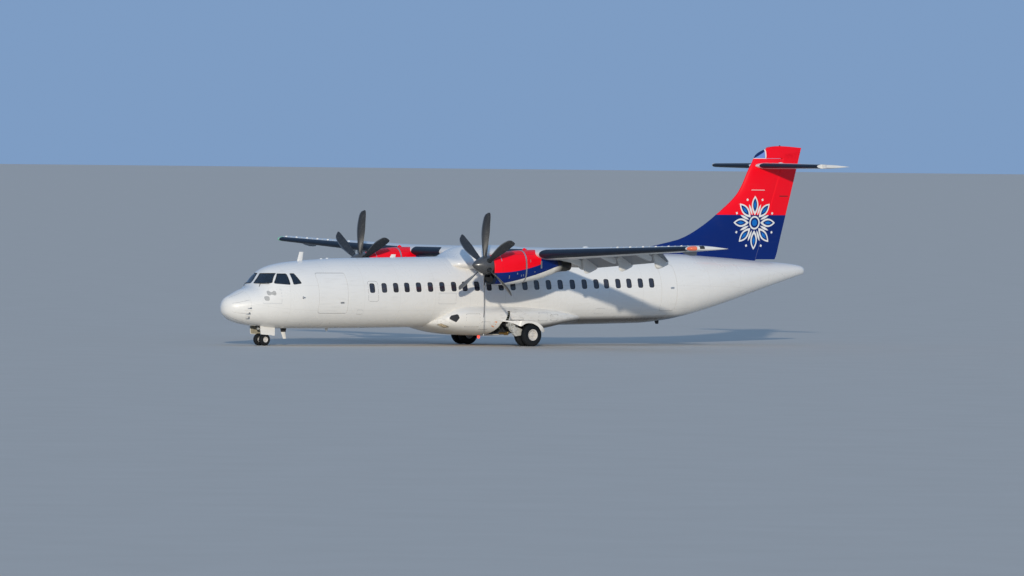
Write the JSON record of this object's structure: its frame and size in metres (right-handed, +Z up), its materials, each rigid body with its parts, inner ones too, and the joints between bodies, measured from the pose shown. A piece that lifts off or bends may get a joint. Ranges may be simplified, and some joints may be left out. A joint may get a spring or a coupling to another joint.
{
  "type": "twin-turboprop regional airliner",
  "caption": "High-wing turboprop regional airliner with a T-tail, deployed flaps, fuselage gear fairings and moving control surfaces, propellers, doors and wheels.",
  "frame": {"origin": "on the ground under the middle of the overall length, on the centre line", "axes": "+X aft towards the tail, +Y towards the right wing tip, +Z up"},
  "size_m": [27.17, 27.05, 7.65],
  "materials": {
    "white_paint": "gloss white enamel on aluminium skin",
    "radome": "gloss white erosion-resistant paint on composite",
    "white_composite": "gloss white paint on composite",
    "red_composite": "gloss red paint on composite",
    "navy_composite": "gloss navy paint on composite",
    "glazing": "clear laminated panes",
    "engine_metal": "heat-stained steel",
    "blade_composite": "satin dark grey composite",
    "spinner_composite": "satin dark grey composite",
    "gear_steel": "gloss grey paint on forged steel",
    "wheel_alloy": "painted forged aluminium",
    "tyre_rubber": "matt black rubber with worn tread"
  },
  "bodies": {
    "airframe": {"radome": "radome", "nose_section": "white_paint", "front_fuselage": "white_paint", "centre_fuselage": "white_paint", "rear_fuselage": "white_paint", "service_door": "white_paint", "wing_centre": "white_paint", "windscreen_left": "glazing", "side_window_1_left": "glazing", "side_window_2_left": "glazing", "wing_left": "white_paint", "nacelle_left": "red_composite", "engine_left": "engine_metal", "main_leg_left": "gear_steel", "trailing_arm_left": "gear_steel", "shock_absorber_left": "gear_steel", "gear_door_left": "white_composite", "nose_door_left": "white_composite", "windscreen_right": "glazing", "side_window_1_right": "glazing", "side_window_2_right": "glazing", "wing_right": "white_paint", "nacelle_right": "red_composite", "engine_right": "engine_metal", "main_leg_right": "gear_steel", "trailing_arm_right": "gear_steel", "shock_absorber_right": "gear_steel", "gear_door_right": "white_composite", "nose_door_right": "white_composite", "wing_fairing": "white_composite", "belly_fairing": "white_composite", "fin": "navy_composite", "tailplane": "white_composite", "fin_cap": "red_composite", "nose_strut": "gear_steel"},
    "flap_inboard_left": {"flap_inboard_left": "white_paint"},
    "flap_outboard_left": {"flap_outboard_left": "white_paint"},
    "aileron_left": {"aileron_left": "white_composite"},
    "elevator_left": {"elevator_left": "white_composite"},
    "propeller_left": {"propeller_left": "blade_composite", "spinner_left": "spinner_composite"},
    "main_wheels_left": {"main_wheels_left": "wheel_alloy", "main_tyre_inner_left": "tyre_rubber", "main_tyre_outer_left": "tyre_rubber"},
    "flap_inboard_right": {"flap_inboard_right": "white_paint"},
    "flap_outboard_right": {"flap_outboard_right": "white_paint"},
    "aileron_right": {"aileron_right": "white_composite"},
    "elevator_right": {"elevator_right": "white_composite"},
    "propeller_right": {"propeller_right": "blade_composite", "spinner_right": "spinner_composite"},
    "main_wheels_right": {"main_wheels_right": "wheel_alloy", "main_tyre_inner_right": "tyre_rubber", "main_tyre_outer_right": "tyre_rubber"},
    "rudder": {"rudder": "red_composite"},
    "cargo_door": {"cargo_door": "white_paint"},
    "passenger_door": {"passenger_door": "white_paint"},
    "nose_fork": {"nose_fork": "gear_steel"},
    "nose_wheels": {"nose_wheels": "wheel_alloy", "nose_tyre_left": "tyre_rubber", "nose_tyre_right": "tyre_rubber"}
  },
  "joints": [
    {"name": "propeller_spin_left", "type": "hinge", "parent": "airframe", "child": "propeller_left", "pos_m": [-4.485, -4.05, 3.08], "axis": [1, 0, 0], "continuous": true},
    {"name": "propeller_spin_right", "type": "hinge", "parent": "airframe", "child": "propeller_right", "pos_m": [-4.485, 4.05, 3.08], "axis": [1, 0, 0], "continuous": true},
    {"name": "main_wheel_roll_left", "type": "hinge", "parent": "airframe", "child": "main_wheels_left", "pos_m": [-1.015, -2.05, 0.432], "axis": [0, 1, 0], "continuous": true},
    {"name": "main_wheel_roll_right", "type": "hinge", "parent": "airframe", "child": "main_wheels_right", "pos_m": [-1.015, 2.05, 0.432], "axis": [0, 1, 0], "continuous": true},
    {"name": "nose_steering", "type": "hinge", "parent": "airframe", "child": "nose_fork", "pos_m": [-11.785, 0, 0.4], "axis": [0, 0, 1], "range_deg": [-60, 60]},
    {"name": "nose_wheel_roll", "type": "hinge", "parent": "nose_fork", "child": "nose_wheels", "pos_m": [-11.785, 0, 0.225], "axis": [0, 1, 0], "continuous": true},
    {"name": "flap_inboard_left_turn", "type": "hinge", "parent": "airframe", "child": "flap_inboard_left", "pos_m": [-0.5846, -1.7, 3.29425], "axis": [0, 1, 0], "range_deg": [-35, 0]},
    {"name": "flap_outboard_left_turn", "type": "hinge", "parent": "airframe", "child": "flap_outboard_left", "pos_m": [-0.58474, -4.796, 3.29456], "axis": [0.0235, 0.9985, -0.0503], "range_deg": [-35, 0]},
    {"name": "flap_inboard_right_turn", "type": "hinge", "parent": "airframe", "child": "flap_inboard_right", "pos_m": [-0.5846, 1.7, 3.29425], "axis": [0, 1, 0], "range_deg": [-35, 0]},
    {"name": "flap_outboard_right_turn", "type": "hinge", "parent": "airframe", "child": "flap_outboard_right", "pos_m": [-0.58474, 4.796, 3.29456], "axis": [-0.0235, 0.9985, 0.0503], "range_deg": [-35, 0]},
    {"name": "aileron_left_turn", "type": "hinge", "parent": "airframe", "child": "aileron_left", "pos_m": [-0.70168, -9.764, 3.69274], "axis": [0.0235, 0.9989, -0.0411], "range_deg": [-14, 14]},
    {"name": "aileron_right_turn", "type": "hinge", "parent": "airframe", "child": "aileron_right", "pos_m": [-0.70168, 9.764, 3.69274], "axis": [-0.0235, 0.9989, 0.0411], "range_deg": [-14, 14]},
    {"name": "elevator_left_turn", "type": "hinge", "parent": "airframe", "child": "elevator_left", "pos_m": [12.465, -0.42, 6.893], "axis": [0, 1, 0], "range_deg": [-23, 13]},
    {"name": "elevator_right_turn", "type": "hinge", "parent": "airframe", "child": "elevator_right", "pos_m": [12.465, 0.42, 6.893], "axis": [0, 1, 0], "range_deg": [-23, 13]},
    {"name": "rudder_turn", "type": "hinge", "parent": "airframe", "child": "rudder", "pos_m": [11.281, 0, 3.3], "axis": [0.3125, 0, 0.9499], "range_deg": [-27, 27]},
    {"name": "passenger_door_swing", "type": "hinge", "parent": "airframe", "child": "passenger_door", "pos_m": [5.745, -1.22764, 1.34], "axis": [0.9984, 0.0571, 0], "range_deg": [0, 130]},
    {"name": "cargo_door_swing", "type": "hinge", "parent": "airframe", "child": "cargo_door", "pos_m": [-10.135, -1.05778, 2.71], "axis": [-0.9987, 0.0505, 0], "range_deg": [0, 100]}
  ],
  "couplings": [
    {"joint": "flap_outboard_left_turn", "follows": "flap_inboard_left_turn", "ratio": 1},
    {"joint": "flap_inboard_right_turn", "follows": "flap_inboard_left_turn", "ratio": 1},
    {"joint": "flap_outboard_right_turn", "follows": "flap_inboard_left_turn", "ratio": 1},
    {"joint": "aileron_right_turn", "follows": "aileron_left_turn", "ratio": -1},
    {"joint": "elevator_right_turn", "follows": "elevator_left_turn", "ratio": 1}
  ]
}
